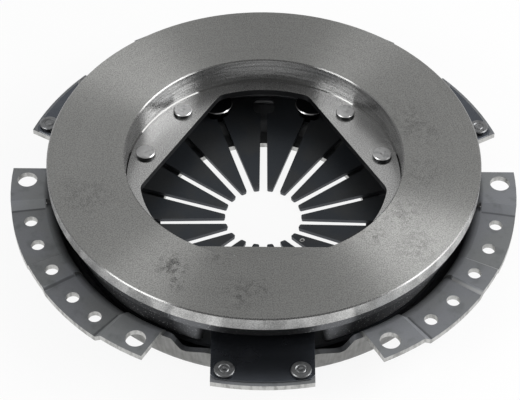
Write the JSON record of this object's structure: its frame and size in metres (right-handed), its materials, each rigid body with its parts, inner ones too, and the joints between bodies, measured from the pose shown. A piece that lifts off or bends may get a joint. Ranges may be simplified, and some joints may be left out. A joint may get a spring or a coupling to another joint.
{
  "type": "clutch pressure plate",
  "caption": "Clutch cover assembly: friction ring on leaf springs over a pressed cover, held out by a slotted diaphragm spring, with bolting pads on a stepped flange.",
  "frame": {"origin": "on the axis of rotation, in the plane of the six bolting pads that meet the flywheel", "axes": "+Z along the axis of rotation towards the flywheel, out of the friction face; -Y through the middle of one ear"},
  "size_m": [0.271, 0.271, 0.0507],
  "materials": {
    "cover_steel": "thin dark phosphate over pressed steel, satin, sheared edges paler",
    "casting_iron": "fine turned friction face and bore, rough as cast below the rim band",
    "spring_steel": "blue-black tempered spring steel, satin",
    "leaf_steel": "blue-black spring strip, glossy",
    "wire_steel": "drawn wire",
    "rivet_steel": "pressed rivet heads, satin",
    "dark_rivet_steel": "blackened rivet steel"
  },
  "bodies": {
    "cover_assembly": {"cover": "cover_steel", "diaphragm_spring": "spring_steel", "fulcrum_ring_upper": "wire_steel", "fulcrum_ring_lower": "wire_steel", "leaf_spring_1": "leaf_steel", "leaf_spring_2": "leaf_steel", "leaf_spring_3": "leaf_steel", "spacer_rivet_1": "dark_rivet_steel", "spacer_rivet_2": "dark_rivet_steel", "spacer_rivet_3": "dark_rivet_steel", "spacer_rivet_4": "dark_rivet_steel", "spacer_rivet_5": "dark_rivet_steel", "spacer_rivet_6": "dark_rivet_steel", "spacer_rivet_7": "dark_rivet_steel", "spacer_rivet_8": "dark_rivet_steel", "spacer_rivet_9": "dark_rivet_steel", "ear_rivet_1": "rivet_steel", "ear_rivet_2": "rivet_steel", "ear_rivet_3": "rivet_steel", "ear_rivet_4": "rivet_steel", "ear_rivet_5": "rivet_steel", "ear_rivet_6": "rivet_steel"},
    "pressure_plate": {"pressure_plate_casting": "casting_iron", "plate_rivet_1": "rivet_steel", "plate_rivet_2": "rivet_steel", "plate_rivet_3": "rivet_steel", "plate_rivet_4": "rivet_steel", "plate_rivet_5": "rivet_steel", "plate_rivet_6": "rivet_steel"}
  },
  "joints": [
    {"name": "plate_travel", "type": "slide", "parent": "cover_assembly", "child": "pressure_plate", "axis": [0, 0, -1], "range_m": [0, 0.003], "stiffness_N_per_m": 100000, "springref_m": -0.003, "deforming": ["diaphragm_spring", "leaf_spring_1", "leaf_spring_2", "leaf_spring_3"]}
  ]
}
